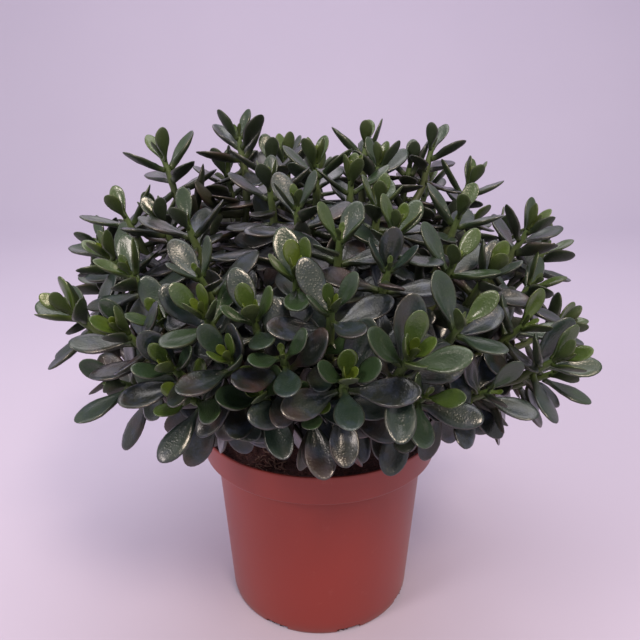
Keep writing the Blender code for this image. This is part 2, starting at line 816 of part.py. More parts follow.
# The outer leaves are placed first in every sprig, then the older ones below them.
for rank in PAIR_ORDER:
    for sprig in grown:
        for pair, face, axis, outward in sprig.buds:
            if pair == rank:
                vigour = LEAST_VIGOUR + (1.0 - LEAST_VIGOUR) * math.sin(face[0] * VIGOUR_TURN) ** 2
                length = sprig.leaf * PAIR_SHARES[pair] * vigour
                grow_leaf(sprig, face, axis, outward, PAIR_PITCHES[pair], length)

for trunk in trunks:
    trunk.faces += [tuple(face) for face in trunk.faces_left]
    trunk.finished(painted(trunk.name + "_bark", (0.10, 0.07, 0.045), 0.8))
for sprig in grown:
    sprig.finished(painted(sprig.name + "_green", (0.028, 0.075, 0.03), 0.3))
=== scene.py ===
import math
import random

import bmesh
import bpy
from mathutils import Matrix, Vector, noise
from mathutils.bvhtree import BVHTree


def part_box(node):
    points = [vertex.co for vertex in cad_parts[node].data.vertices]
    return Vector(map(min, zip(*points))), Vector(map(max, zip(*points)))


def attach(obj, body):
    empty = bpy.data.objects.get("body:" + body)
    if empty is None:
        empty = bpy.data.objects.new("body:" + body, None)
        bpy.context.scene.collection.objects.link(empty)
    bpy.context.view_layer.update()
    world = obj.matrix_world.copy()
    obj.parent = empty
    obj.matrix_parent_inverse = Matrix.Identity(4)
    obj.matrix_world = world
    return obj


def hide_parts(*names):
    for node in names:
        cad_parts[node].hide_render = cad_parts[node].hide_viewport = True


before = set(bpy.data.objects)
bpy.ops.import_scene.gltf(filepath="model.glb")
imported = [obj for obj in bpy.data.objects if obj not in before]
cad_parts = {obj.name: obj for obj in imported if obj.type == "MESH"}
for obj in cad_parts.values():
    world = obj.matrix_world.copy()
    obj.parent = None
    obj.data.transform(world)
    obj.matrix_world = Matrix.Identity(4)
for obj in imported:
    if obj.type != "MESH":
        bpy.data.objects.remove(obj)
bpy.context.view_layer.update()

# ---------------------------------------------------------------- pot
# The pot is one thin injection-moulded shell of terracotta-coloured plastic, satin-smooth, with a
# broad band below the rim and drain slots through the corner between its wall and its floor.

MILLIMETRE = 0.001
POT_LOW, POT_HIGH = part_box("pot")
RIM_RADIUS = round(POT_HIGH.x / MILLIMETRE, 1)
RIM_HEIGHT = round(POT_HIGH.z / MILLIMETRE, 1)
BAND_HEIGHT = 21.0
BAND_FOOT = RIM_HEIGHT - BAND_HEIGHT
BAND_LOWER_RADIUS = RIM_RADIUS - 3.0
BODY_TOP_RADIUS = 73.8
FOOT_RADIUS = 66.0
WALL = 1.6
FLOOR = 2.0
POT_FACETS = 160
WELD = 0.00001
SHARP_EDGE = 38.0
SLOT_COUNT = 8
SLOT_FIRST = -27.0
SLOT_WIDTH = 17.0
SLOT_HEIGHT = 3.2
SLOT_DEPTH = 8.0
SLOT_MARGIN = 2.0
POT_PROFILE = (
    (0.0, FLOOR),
    (FOOT_RADIUS - WALL - 1.2, FLOOR),
    (FOOT_RADIUS - WALL, FLOOR + 1.5),
    (BODY_TOP_RADIUS - WALL, BAND_FOOT),
    (BODY_TOP_RADIUS - WALL + 0.8, BAND_FOOT + 0.8),
    (BAND_LOWER_RADIUS - WALL, BAND_FOOT + 1.2),
    (RIM_RADIUS - WALL - 0.2, RIM_HEIGHT - 1.0),
    (RIM_RADIUS - 1.3, RIM_HEIGHT - 0.1),
    (RIM_RADIUS - 0.9, RIM_HEIGHT),
    (RIM_RADIUS - 0.3, RIM_HEIGHT - 0.25),
    (RIM_RADIUS, RIM_HEIGHT - 0.9),
    (RIM_RADIUS - 0.1, RIM_HEIGHT - 1.8),
    (BAND_LOWER_RADIUS + 0.15, BAND_FOOT + 1.4),
    (BAND_LOWER_RADIUS, BAND_FOOT + 0.4),
    (BAND_LOWER_RADIUS - 0.4, BAND_FOOT - 0.2),
    (BAND_LOWER_RADIUS - 1.2, BAND_FOOT - 0.5),
    (BODY_TOP_RADIUS + 1.2, BAND_FOOT - 0.6),
    (BODY_TOP_RADIUS + 0.4, BAND_FOOT - 1.0),
    (BODY_TOP_RADIUS, BAND_FOOT - 2.0),
    (BODY_TOP_RADIUS - 0.4, BAND_FOOT - 6.0),
    (FOOT_RADIUS + 0.4, SLOT_HEIGHT + 3.0),
    (FOOT_RADIUS + 0.05, 1.9),
    (FOOT_RADIUS - 0.5, 0.7),
    (FOOT_RADIUS - 1.4, 0.0),
    (0.0, 0.0),
)


def around(azimuth, reach, height):
    """A point at an azimuth in degrees, a distance from the pot's axis and a height."""
    turn = math.radians(azimuth)
    return Vector((math.sin(turn) * reach, -math.cos(turn) * reach, height))


class Flow:
    """One output of a material's nodes.  Sums and products of flows add their own Math nodes."""

    def __init__(self, tree, socket):
        self.tree = tree
        self.socket = socket

    def combined(self, operation, first, second):
        node = self.tree.nodes.new("ShaderNodeMath")
        node.operation = operation
        for slot, value in zip(node.inputs, (first, second)):
            if isinstance(value, Flow):
                self.tree.links.new(value.socket, slot)
            else:
                slot.default_value = value
        return Flow(self.tree, node.outputs[0])

    def __add__(self, other):
        return self.combined("ADD", self, other)

    def __radd__(self, other):
        return self.combined("ADD", other, self)

    def __sub__(self, other):
        return self.combined("SUBTRACT", self, other)

    def __rsub__(self, other):
        return self.combined("SUBTRACT", other, self)

    def __mul__(self, other):
        return self.combined("MULTIPLY", self, other)

    def __rmul__(self, other):
        return self.combined("MULTIPLY", other, self)


class Finish:
    """A procedural surface finish, built node by node and ended by its Principled shader."""

    def __init__(self, name):
        self.material = bpy.data.materials.new(name)
        self.material.use_nodes = True
        self.tree = self.material.node_tree
        self.tree.nodes.clear()

    def node(self, kind, settings=None, sockets=None, output=0):
        """Adds a node, its settings first and then its sockets, and returns one output."""
        node = self.tree.nodes.new("ShaderNode" + kind)
        for name, value in (settings or {}).items():
            if name == "stops":
                stops = node.color_ramp.elements
                for number, (place, colour) in enumerate(value):
                    stop = stops[number] if number < 2 else stops.new(place)
                    stop.position = place
                    stop.color = (*colour, 1.0)
            else:
                setattr(node, name, value)
        for name, value in (sockets or {}).items():
            if isinstance(value, Flow):
                self.tree.links.new(value.socket, node.inputs[name])
            elif isinstance(value, tuple) and len(value) == 3 and node.inputs[name].type == "RGBA":
                node.inputs[name].default_value = (*value, 1.0)
            else:
                node.inputs[name].default_value = value
        return Flow(self.tree, node.outputs[output])

    def blended(self, share, first, second):
        """A colour between two colours."""
        mixing = {"data_type": "RGBA", "clamp_factor": True}
        return self.node("Mix", mixing, {0: share, 6: first, 7: second}, 2)

    def grain(self, size, detail=3.0, roughness=0.5):
        """Cloudy noise whose lumps are about a size in millimetres, from 0 to 1."""
        place = self.node("TexCoord", output=3)
        return self.node("TexNoise", None, {
            "Vector": place, "Scale": 1.0 / (size * MILLIMETRE),
            "Detail": detail, "Roughness": roughness,
        })

    def stepped(self, value, low, high):
        """A value spread from 0 at low to 1 at high."""
        return self.node("MapRange", {"interpolation_type": "SMOOTHSTEP"}, {
            "Value": value, "From Min": low, "From Max": high,
        })

    def stored(self, name):
        """A number kept at each point of the mesh."""
        return self.node("Attribute", {"attribute_name": name}, None, 2)

    def finished(self, sockets, bump=None, strength=0.3, depth=0.3):
        """Ends the finish in its shader, with an optional relief whose depth is in millimetres."""
        if bump:
            sockets["Normal"] = self.node("Bump", None, {
                "Height": bump, "Strength": strength, "Distance": depth * MILLIMETRE,
            })
        shader = self.node("BsdfPrincipled", None, sockets)
        end = self.tree.nodes.new("ShaderNodeOutputMaterial")
        self.tree.links.new(shader.socket, end.inputs["Surface"])
        return self.material


def placed(name, data):
    """A new object in the scene."""
    thing = bpy.data.objects.new(name, data)
    bpy.context.scene.collection.objects.link(thing)
    return thing


def shown(name, mesh, material, slot, *nodes):
    """A piece of the plant, carried by the whole object and standing for CAD nodes."""
    piece = placed(name, mesh)
    mesh.materials.append(material)
    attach(piece, "root")
    if nodes:
        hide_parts(*nodes)
    return piece


def filled(mesh, builder):
    """Fills a mesh with what was built, its faces smooth and all facing outward."""
    bmesh.ops.recalc_face_normals(builder, faces=builder.faces)
    for face in builder.faces:
        face.smooth = True
    builder.to_mesh(mesh)
    builder.free()


plastic = Finish("terracotta_plastic")
cloud = plastic.grain(60.0, 4.0)
fleck = plastic.grain(2.5, 2.0)
scuff = plastic.stepped(plastic.grain(9.0, 6.0, 0.7), 0.60, 0.74)
height = plastic.node("SeparateXYZ", None, {"Vector": plastic.node("TexCoord", output=3)}, 2)
dusty = plastic.stepped(height, 0.012, 0.0)
colour = plastic.blended(cloud, (0.220, 0.022, 0.013), (0.262, 0.028, 0.017))
colour = plastic.blended(scuff * 0.16, colour, (0.42, 0.16, 0.13))
colour = plastic.blended(dusty * 0.35, colour, (0.16, 0.05, 0.04))
terracotta = plastic.finished(
    {
        "Base Color": colour, "Roughness": 0.36 + 0.10 * cloud + 0.12 * scuff,
        "Sheen Weight": 0.09, "Sheen Roughness": 0.4,
    },
    fleck, 0.12, 0.12,
)

pot_mesh = bpy.data.meshes.new("nursery_pot")
pot_builder = bmesh.new()
profile = [
    pot_builder.verts.new((radius * MILLIMETRE, 0.0, height * MILLIMETRE))
    for radius, height in POT_PROFILE
]
edges = [pot_builder.edges.new(pair) for pair in zip(profile, profile[1:])]
bmesh.ops.spin(
    pot_builder, geom=profile + edges, axis=(0, 0, 1), cent=(0, 0, 0), angle=math.tau,
    steps=POT_FACETS, use_merge=True,
)
bmesh.ops.remove_doubles(pot_builder, verts=pot_builder.verts, dist=WELD)
filled(pot_mesh, pot_builder)
pot = shown("nursery_pot", pot_mesh, terracotta, "pot", "pot")

slot_mesh = bpy.data.meshes.new("slots")
slot_builder = bmesh.new()
for number in range(SLOT_COUNT):
    outward = around(SLOT_FIRST + number * 360.0 / SLOT_COUNT, 1.0, 0.0)
    sideways = Vector((-outward.y, outward.x, 0.0))
    middle = outward * (FOOT_RADIUS - SLOT_DEPTH * 0.5 + SLOT_MARGIN)
    box = bmesh.ops.create_cube(slot_builder, size=1.0)["verts"]
    for corner in box:
        along = outward * corner.co.x * (SLOT_DEPTH + SLOT_MARGIN * 2.0)
        along += sideways * corner.co.y * SLOT_WIDTH
        corner.co = (middle + along + Vector((0, 0, corner.co.z * SLOT_HEIGHT * 2.0))) * MILLIMETRE
slot_builder.to_mesh(slot_mesh)
slot_builder.free()
slots = placed("slot_cutter", slot_mesh)
cutting = pot.modifiers.new("slots", "BOOLEAN")
cutting.operation = "DIFFERENCE"
cutting.object = slots
bpy.context.view_layer.update()
cut_mesh = bpy.data.meshes.new_from_object(pot.evaluated_get(bpy.context.evaluated_depsgraph_get()))
pot.modifiers.clear()
pot.data = cut_mesh
cut_mesh.name = "nursery_pot_cut"
cut_mesh.set_sharp_from_angle(angle=math.radians(SHARP_EDGE))
bpy.data.objects.remove(slots)


# ---------------------------------------------------------------- soil
# Dark peat-based potting soil fills the pot to a little over a centimetre below the rim.  It is
# loose, damp and fibrous, with crumbs and bits of root on top.

SOIL_LEVEL = 126.0
SOIL_RADIUS = round(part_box("soil")[1].x / MILLIMETRE, 1)
SOIL_BUMP = 0.9
SOIL_RINGS = 90
SOIL_FACETS = 260
SOIL_LUMP = 1.3
SOIL_LUMP_PITCH = 0.32
SOIL_GRAIN = 0.35
SOIL_GRAIN_PITCH = 1.1
SOIL_SIDE = (
    (BAND_LOWER_RADIUS - WALL - 0.5, BAND_FOOT + 1.7),
    (BODY_TOP_RADIUS - WALL + 0.1, BAND_FOOT + 1.5),
    (BODY_TOP_RADIUS - WALL - 0.4, BAND_FOOT - 0.6),
    (FOOT_RADIUS - WALL - 0.4, FLOOR + 1.5),
    (FOOT_RADIUS - WALL - 1.6, FLOOR + 0.3),
)
CRUMBS = 420
CRUMB_SIZES = (0.5, 1.9)
SLOT_CRUMBS = 26
SLOT_CRUMB_SIZES = (0.4, 0.8)
SLOT_FILL = 0.45
ROOT_BITS = 34
ROOT_SIZES = (0.25, 0.55)
ROOT_STRIDES = (1.4, 2.8)
ROOT_BEND = 0.8
ROOT_ARCH = 1.5
TANGLED_BITS = 20
TANGLE_AZIMUTH = -33.0
TANGLE_REACH = 60.0
ROOT_POINTS = 5
TUBE_PARTS = 4
TUBE_START = Vector((0.31, 0.17, 0.93))
TUBE_WOBBLE = 0.07
TUBE_WOBBLE_PITCH = 0.35
NODE_SWELL = 0.10


def soil_height(x, y):
    """The uneven top of the soil."""
    wave = math.sin(x * 0.11 + 1.0) + math.sin(y * 0.13 + x * 0.05) + math.sin((x - y) * 0.21)
    return SOIL_LEVEL + SOIL_BUMP * wave / 2.0


def soil_point(azimuth, reach):
    """A point on the grainy top of the soil."""
    place = around(azimuth, reach, 0.0)
    lumps = noise.fractal(Vector((place.x, place.y, 3.0)) * SOIL_LUMP_PITCH, 1.0, 2.0, 4)
    grains = noise.noise(Vector((place.x, place.y, 9.0)) * SOIL_GRAIN_PITCH)
    place.z = soil_height(place.x, place.y) + SOIL_LUMP * lumps + SOIL_GRAIN * grains
    return place


def smooth_mesh(name, points, faces, marks):
    """A smooth mesh of points in millimetres, with named numbers kept at each of them."""
    mesh = bpy.data.meshes.new(name)
    mesh.from_pydata([point * MILLIMETRE for point in points], [], faces)
    mesh.shade_smooth()
    for mark, values in marks.items():
        mesh.attributes.new(mark, "FLOAT", "POINT").data.foreach_set("value", values)
    return mesh


def wrapped(lower, upper):
    """The side faces between two rings of point numbers."""
    return list(zip(lower, lower[1:] + lower[:1], upper[1:] + upper[:1], upper))


class Tube:
    """Smooth round stems gathered into one mesh."""

    def __init__(self):
        self.points = []
        self.faces = []
        self.youth = []

    def add(self, path, radii, youth, sides=10):
        """Adds a stem along points, with a radius and a youth at each; both ends are closed flat."""
        spine = []
        count = len(path)
        for step in range(count - 1):
            before = path[max(0, step - 1)]
            after = path[min(count - 1, step + 2)]
            for part in range(TUBE_PARTS):
                share = part / TUBE_PARTS
                spine.append((
                    spline(before, path[step], path[step + 1], after, share),
                    radii[step] + (radii[step + 1] - radii[step]) * share,
                    youth[step] + (youth[step + 1] - youth[step]) * share,
                ))
        spine.append((path[-1], radii[-1], youth[-1]))
        first = len(self.points)
        side = TUBE_START.cross(spine[1][0] - spine[0][0]).normalized()
        for number, (place, radius, green) in enumerate(spine):
            ahead = spine[min(number + 1, len(spine) - 1)][0] - spine[max(number - 1, 0)][0]
            ahead.normalize()
            side = (side - ahead * side.dot(ahead)).normalized()
            other = ahead.cross(side)
            node = 1.0 + NODE_SWELL * math.exp(-(((number % TUBE_PARTS) - 1.5) ** 2))
            for corner in range(sides):
                turn = math.tau * corner / sides
                wobble = 1.0 + TUBE_WOBBLE * noise.noise(place * TUBE_WOBBLE_PITCH + side * corner)
                reach = radius * node * wobble
                self.points.append(place + (side * math.cos(turn) + other * math.sin(turn)) * reach)
                self.youth.append(green)
        starts = range(first, len(self.points), sides)
        rings = [list(range(start, start + sides)) for start in starts]
        for lower, upper in zip(rings, rings[1:]):
            self.faces += wrapped(lower, upper)
        self.faces += [tuple(reversed(rings[0])), tuple(rings[-1])]

    def mesh(self, name):
        """The gathered stems as one smooth mesh."""
        return smooth_mesh(name, self.points, self.faces, {"youth": self.youth})


def spline(before, start, end, after, share):
    """A point between start and end on a line that also follows its neighbours."""
    return (
        start * 2.0
        + (end - before) * share
        + (before * 2.0 - start * 5.0 + end * 4.0 - after) * share ** 2
        + (start * 3.0 - before - end * 3.0 + after) * share ** 3
    ) * 0.5


def add_crumb(builder, chance, place, size):
    """Adds one ragged crumb of soil."""
    stretch = Vector((chance.uniform(0.7, 1.9), chance.uniform(0.6, 1.2), chance.uniform(0.4, 0.9)))
    for corner in bmesh.ops.create_icosphere(builder, subdivisions=1, radius=1.0)["verts"]:
        shape = corner.co * (1.0 + 0.4 * chance.uniform(-1.0, 1.0))
        shape = Vector((shape.x * stretch.x, shape.y * stretch.y, shape.z * stretch.z)) * size
        corner.co = (place + shape) * MILLIMETRE


peat = Finish("potting_soil")
fibre = peat.grain(1.6, 6.0, 0.7)
patch = peat.grain(14.0, 3.0)
colour = peat.blended(peat.stepped(fibre, 0.42, 0.72), (0.040, 0.013, 0.014), (0.230, 0.095, 0.088))
colour = peat.blended(patch * 0.4, colour, (0.095, 0.036, 0.034))
damp_peat = peat.finished({"Base Color": colour, "Roughness": 0.82 + 0.15 * fibre}, fibre, 0.9, 1.0)

soil_mesh = bpy.data.meshes.new("potting_soil")
soil_builder = bmesh.new()
azimuths = [facet * 360.0 / SOIL_FACETS for facet in range(SOIL_FACETS)]
reaches = [SOIL_RADIUS * (ring + 0.5) / (SOIL_RINGS + 0.5) for ring in range(SOIL_RINGS + 1)]
rings = [[soil_point(azimuth, reach) for azimuth in azimuths] for reach in reaches]
rings += [[around(azimuth, reach, height) for azimuth in azimuths] for reach, height in SOIL_SIDE]
rings = [[soil_builder.verts.new(point * MILLIMETRE) for point in ring] for ring in rings]
soil_builder.faces.new(rings[0])
soil_builder.faces.new(rings[-1][::-1])
for inner, outer in zip(rings, rings[1:]):
    for facet in range(SOIL_FACETS):
        after = (facet + 1) % SOIL_FACETS
        soil_builder.faces.new((inner[facet], outer[facet], outer[after], inner[after]))
chance = random.Random(7)
for crumb in range(CRUMBS):
    place = soil_point(chance.uniform(0.0, 360.0), (SOIL_RADIUS - 3.0) * math.sqrt(chance.random()))
    add_crumb(soil_builder, chance, place, chance.uniform(*CRUMB_SIZES))
spread = math.degrees(SLOT_WIDTH * SLOT_FILL / FOOT_RADIUS)
for slot in range(SLOT_COUNT):
    for crumb in range(SLOT_CRUMBS):
        azimuth = SLOT_FIRST + slot * 360.0 / SLOT_COUNT + chance.uniform(-spread, spread)
        place = around(azimuth, FOOT_RADIUS - chance.uniform(0.4, 4.0), chance.uniform(0.9, 2.2))
        add_crumb(soil_builder, chance, place, chance.uniform(*SLOT_CRUMB_SIZES))
filled(soil_mesh, soil_builder)
shown("potting_soil", soil_mesh, damp_peat, "soil", "soil")

dry_root = Finish("dry_root")
strand = dry_root.grain(1.2, 4.0)
colour = dry_root.blended(strand, (0.12, 0.055, 0.045), (0.36, 0.22, 0.18))
root_skin = dry_root.finished(
    {"Base Color": colour, "Roughness": 0.8 + 0.1 * strand}, strand, 0.5, 0.2,
)
roots = Tube()
for bit in range(ROOT_BITS):
    azimuth = chance.uniform(0.0, 360.0)
    reach = (SOIL_RADIUS - 9.0) * math.sqrt(chance.random())
    if bit < TANGLED_BITS:
        azimuth = TANGLE_AZIMUTH + chance.gauss(0.0, 5.0)
        reach = TANGLE_REACH + chance.gauss(0.0, 4.5)
    place = soil_point(azimuth, reach)
    heading = chance.uniform(0.0, math.tau)
    path = []
    for step in range(ROOT_POINTS):
        arch = math.sin(math.pi * step / (ROOT_POINTS - 1))
        path.append(place + Vector((0.0, 0.0, 0.3 + ROOT_ARCH * arch * chance.random())))
        heading += chance.uniform(-ROOT_BEND, ROOT_BEND)
        onward = Vector((math.cos(heading), math.sin(heading), 0.0))
        place = place + onward * chance.uniform(*ROOT_STRIDES)
    thickness = chance.uniform(*ROOT_SIZES)
    roots.add(path, [thickness] * ROOT_POINTS, [0.0] * ROOT_POINTS, 6)
shown("root_bits", roots.mesh("root_bits"), root_skin, "soil")


# ---------------------------------------------------------------- crown
# The shoots end on one wide dome.  Each row is one sprig: its name, its leaves' length, and for
# each of its two tips the azimuth, the distance from the axis, the height and the turn of its pairs.

CROWN_REACH = 152.0
CROWN_RISE = 108.0
CROWN_CENTRE = 200.0
CROWN_SPACING = 34.5
SKYWARD = 0.55
UPRIGHT_TIP = 0.2
FILL_TRIES = 260
FILL_LOWEST = 0.02
FILL_HIGHEST = 0.985
FILL_LEAF = 33.0
FILL_STEP = 0.414214
FILL_AZIMUTH = 137.508
FILL_TURN = 53.0
PAIR_REACH = 75.0
TIP_LEAD = 8.0
PAIR_ENDS = (29.0, 20.5, 13.0, 6.5, 1.5)
SPRIGS = (
    ("skirt_left", 34, (-24, 148, 214, 75), (-42, 148, 210, 170)),
    ("skirt_right", 33, (33, 148, 212, 40), (46, 160, 222, 55)),
    ("crown_left", 33, (-110, 55, 321, 155), (-92, 97, 309, 40)),
    ("crown_front", 31, (-5, 25, 308, 65), (-30, 55, 298, 110)),
    ("crown_middle", 29, (25, 42, 300, 80), (24, 76, 291, 140)),
    ("crown_right", 30, (105, 60, 304, 160), (95, 95, 292, 0)),
    ("crown_back_right", 30, (125, 36, 316, 135), (100, 72, 315, 130)),
    ("shoulder_right", 30, (52, 96, 285, 15), (22, 100, 283, 125)),
    ("side_high_right", 31, (72, 126, 272, 40), (85, 141, 254, 105)),
    ("side_right", 31, (43, 124, 260, 125), (66, 132, 244, 105)),
    ("face_right", 33, (26, 146, 248, 15), (48, 140, 234, 50)),
    ("face_high", 31, (5, 108, 282, 150), (-8, 82, 293, 35)),
    ("face_middle_right", 31, (15, 122, 270, 165), (34, 118, 268, 20)),
    ("face_middle", 33, (2, 142, 258, 30), (0, 130, 234, 0)),
    ("face_middle_left", 32, (-5, 124, 268, 20), (-12, 140, 252, 30)),
    ("face_high_left", 32, (-28, 122, 264, 60), (-45, 98, 281, 130)),
    ("face_left", 33, (-21, 142, 252, 165), (-34, 134, 242, 50)),
    ("low_left", 34, (-15, 150, 236, 145), (-25, 154, 230, 45)),
    ("side_low_left", 33, (-36, 152, 240, 130), (-58, 154, 236, 110)),
    ("side_high_left", 32, (-80, 119, 278, 175), (-88, 138, 256, 155)),
    ("side_left", 31, (-68, 128, 258, 40), (-62, 100, 278, 10)),
    ("low_middle_left", 33, (-6, 150, 240, 15), (-11, 142, 218, 120)),
    ("low_middle", 35, (4, 156, 232, 0), (-2, 144, 214, 105)),
    ("low_right", 35, (14, 156, 240, 75), (19, 146, 216, 150)),
)


def crown_slope(place):
    """The outward direction of the crown's surface at a point."""
    flat = 1.0 / CROWN_REACH ** 2
    return Vector((
        place.x * flat, place.y * flat, (place.z - CROWN_CENTRE) / CROWN_RISE ** 2
    )).normalized()


class Tip:
    """The end of a leafy shoot: its place, its direction and the turn of its leaf pairs."""

    def __init__(self, place, turn):
        self.axis = (crown_slope(place) + Vector((0.0, 0.0, SKYWARD))).normalized()
        self.place = place + self.axis * TIP_LEAD
        level = Vector((0.0, 0.0, 1.0)) - self.axis * self.axis.z
        if level.length < UPRIGHT_TIP:
            level = Vector((place.x, place.y, 0.0))
            level -= self.axis * self.axis.dot(level)
        level.normalize()
        swing = math.radians(turn)
        self.sideways = level * math.cos(swing) + self.axis.cross(level) * math.sin(swing)

    def bearing_path(self):
        """The straight leafy end of the shoot, with a leaf pair between one ring and the next."""
        return [(self.place - self.axis * back, self.axis) for back in PAIR_ENDS]


sprigs = []
for name, leaf, *tips in SPRIGS:
    ends = [Tip(around(azimuth, reach, height), turn) for azimuth, reach, height, turn in tips]
    sprigs.append((name, float(leaf), ends))

# The rest of the crown is filled evenly, wherever no chosen tip is near.
taken = [tip.place for name, leaf, tips in sprigs for tip in tips]
added = []
for number in range(FILL_TRIES):
    rise = FILL_LOWEST + (FILL_HIGHEST - FILL_LOWEST) * ((number * FILL_STEP) % 1.0)
    height = CROWN_CENTRE + CROWN_RISE * rise
    place = around(number * FILL_AZIMUTH, CROWN_REACH * math.sqrt(1.0 - rise * rise), height)
    if all((place - other).length > CROWN_SPACING for other in taken):
        taken.append(place)
        added.append(Tip(place, (number * FILL_TURN) % 90.0))

while added:
    first = added.pop(0)
    near = [tip for tip in added if (tip.place - first.place).length < PAIR_REACH]
    ends = [first]
    if near:
        second = min(near, key=lambda tip: (tip.place - first.place).length)
        added.remove(second)
        ends.append(second)
    sprigs.append((f"back_{len(sprigs) - len(SPRIGS) + 1}", FILL_LEAF, ends))


# ---------------------------------------------------------------- woody stems
# Five rooted cuttings stand in the soil.  Their stems are woody, with grey-brown corky bark ringed
# by old leaf scars, and send out limbs that carry the green shoots.

GAP = 0.3
TRUNK_AZIMUTHS = (20.0, 92.0, 164.0, 236.0, 308.0)
TRUNK_FOOT_REACH = 25.0
TRUNK_HEAD_REACH = 34.0
TRUNK_DEPTH = 11.0
TRUNK_FOOT = SOIL_LEVEL - TRUNK_DEPTH
TRUNK_RADIUS = 6.6
TRUNK_TAPER = 0.72
TRUNK_SIDES = 8
TRUNK_STEP = 8.0
TRUNK_STEPS = 8
TRUNK_BARE_STEPS = 1.5
TRUNK_FACETS = 18
LIMB_HALF = 2.5
LIMB_PARTS = 3
LIMB_SHARE = 0.45
LIMB_TURN = 45.0
LIMB_CLIMB = 60.0
LIMB_LEAST_RISE = 0.35
LIMB_ROOTING = 0.7
LIMB_SWELL = 1.35
LIMB_TAPER = 0.25
LIMB_YOUTH = 0.35
STEM_PULL = 0.38
CROWN_HEART = 172.0
CLEARANCE = 0.6

bark = Finish("corky_bark")
rough = bark.grain(3.0, 5.0, 0.65)
band = bark.node("TexWave", {"bands_direction": "Z", "wave_profile": "SAW"}, {
    "Vector": bark.node("TexCoord", output=3), "Scale": 40.0, "Distortion": 3.0, "Detail": 3.0,
    "Detail Scale": 2.0,
})
greenness = bark.stored("youth")
colour = bark.blended(bark.stepped(rough, 0.35, 0.7), (0.035, 0.024, 0.017), (0.125, 0.092, 0.066))
colour = bark.blended(band * 0.3, colour, (0.17, 0.14, 0.11))
unripe = bark.blended(rough, (0.045, 0.085, 0.02), (0.10, 0.12, 0.035))
colour = bark.blended(greenness, colour, unripe)
stem_bark = bark.finished(
    {"Base Color": colour, "Roughness": 0.78 - 0.3 * greenness}, rough + 0.6 * band, 0.6, 0.5,
)


def trunk_point(azimuth, height):
    """The middle of a trunk at a height."""
    share = (height - TRUNK_FOOT) / (TRUNK_STEP * TRUNK_STEPS)
    reach = TRUNK_FOOT_REACH + (TRUNK_HEAD_REACH - TRUNK_FOOT_REACH) * share
    return around(azimuth, reach, height)


def trunk_radius(step):
    """Half the thickness of a trunk at a step of its height."""
    return TRUNK_RADIUS * (1.0 - (1.0 - TRUNK_TAPER) * step / TRUNK_STEPS)


# Growth is worked out on plain solids first, one for each leaf and stretch of stem, so that no
# leaf runs through another.

laid = []


class Solid:
    """A small closed shape that later growth has to stay clear of."""

    def __init__(self, points, faces):
        self.tree = BVHTree.FromPolygons(points, faces)
        self.low = [min(point[axis] for point in points) for axis in range(3)]
        self.high = [max(point[axis] for point in points) for axis in range(3)]

    def meets(self, other):
        """Whether the two surfaces cross."""
        for axis in range(3):
            if self.low[axis] > other.high[axis] or self.high[axis] < other.low[axis]:
                return False
        return bool(self.tree.overlap(other.tree))


def prism(lower, upper):
    """The solid between two rings."""
    bottom = list(range(len(lower)))
    top = [number + len(lower) for number in bottom]
    return Solid([*lower, *upper], [bottom[::-1], top] + wrapped(bottom, top))


def is_free(owner, whole, short):
    """Whether a shape clears all that is laid down, its own piece with its short form only."""
    for other_owner, other_whole, other_short in laid:
        if other_owner is owner:
            if short.meets(other_short):
                return False
        elif whole.meets(other_whole):
            return False
    return True


def middle_of(points):
    """The middle of a few points."""
    return sum(points, Vector()) / len(points)


class Body:
    """The ring points of one grown piece."""

    def __init__(self):
        self.points = []

    def ring(self, corners):
        """Adds corner points and returns their numbers."""
        first = len(self.points)
        self.points.extend(corners)
        return list(range(first, first + len(corners)))

    def wall(self, lower, upper, left_open):
        """The side faces between two rings that are left open for growth."""
        return [face for side, face in enumerate(wrapped(lower, upper)) if side in left_open]

    def turned(self, base, ring):
        """The ring started at the corner that twists least against the base."""
        def twist(start):
            pairs = zip(base, ring[start:] + ring[:start])
            return sum((self.points[one] - self.points[two]).length_squared for one, two in pairs)
        start = min(range(4), key=twist)
        return ring[start:] + ring[:start]


def square(centre, forward, sideways, half):
    """Four corners round a stem, one side face facing sideways."""
    first = (sideways - forward * sideways.dot(forward)).normalized()
    second = forward.cross(first)
    return [
        centre + (first * one + second * two) * half
        for one, two in ((1, -1), (1, 1), (-1, 1), (-1, -1))
    ]


def curve(start, start_pull, end_pull, end, share):
    """A point on the smooth line between two ends."""
    rest = 1.0 - share
    return (
        start * rest ** 3
        + start_pull * 3.0 * rest ** 2 * share
        + end_pull * 3.0 * rest * share ** 2
        + end * share ** 3
    )


class Trunk(Body):
    """A woody stem with a limb out of one of its side faces for each sprig it carries."""

    def __init__(self, azimuth):
        super().__init__()
        self.azimuth = azimuth
        self.limbs = []
        self.faces_left = []
        self.solids = []
        lowest_limb = SOIL_LEVEL + TRUNK_STEP * TRUNK_BARE_STEPS
        below = None
        for step in range(TRUNK_STEPS + 1):
            height = TRUNK_FOOT + step * TRUNK_STEP
            middle = trunk_point(azimuth, height)
            sides = [
                middle + around((side + 0.5) * 360.0 / TRUNK_SIDES, trunk_radius(step), 0.0)
                for side in range(TRUNK_SIDES)
            ]
            ring = self.ring(sides)
            if below:
                can_open = range(TRUNK_SIDES) if height > lowest_limb else ()
                self.faces_left += self.wall(below, ring, can_open)
                self.solids.append(prism([self.points[n] for n in below], sides))
            below = ring
        for solid in self.solids:
            laid.append((self, solid, solid))

    def heart(self):
        """The place its limbs spread from."""
        return trunk_point(self.azimuth, CROWN_HEART)


trunks = [Trunk(azimuth) for azimuth in TRUNK_AZIMUTHS]


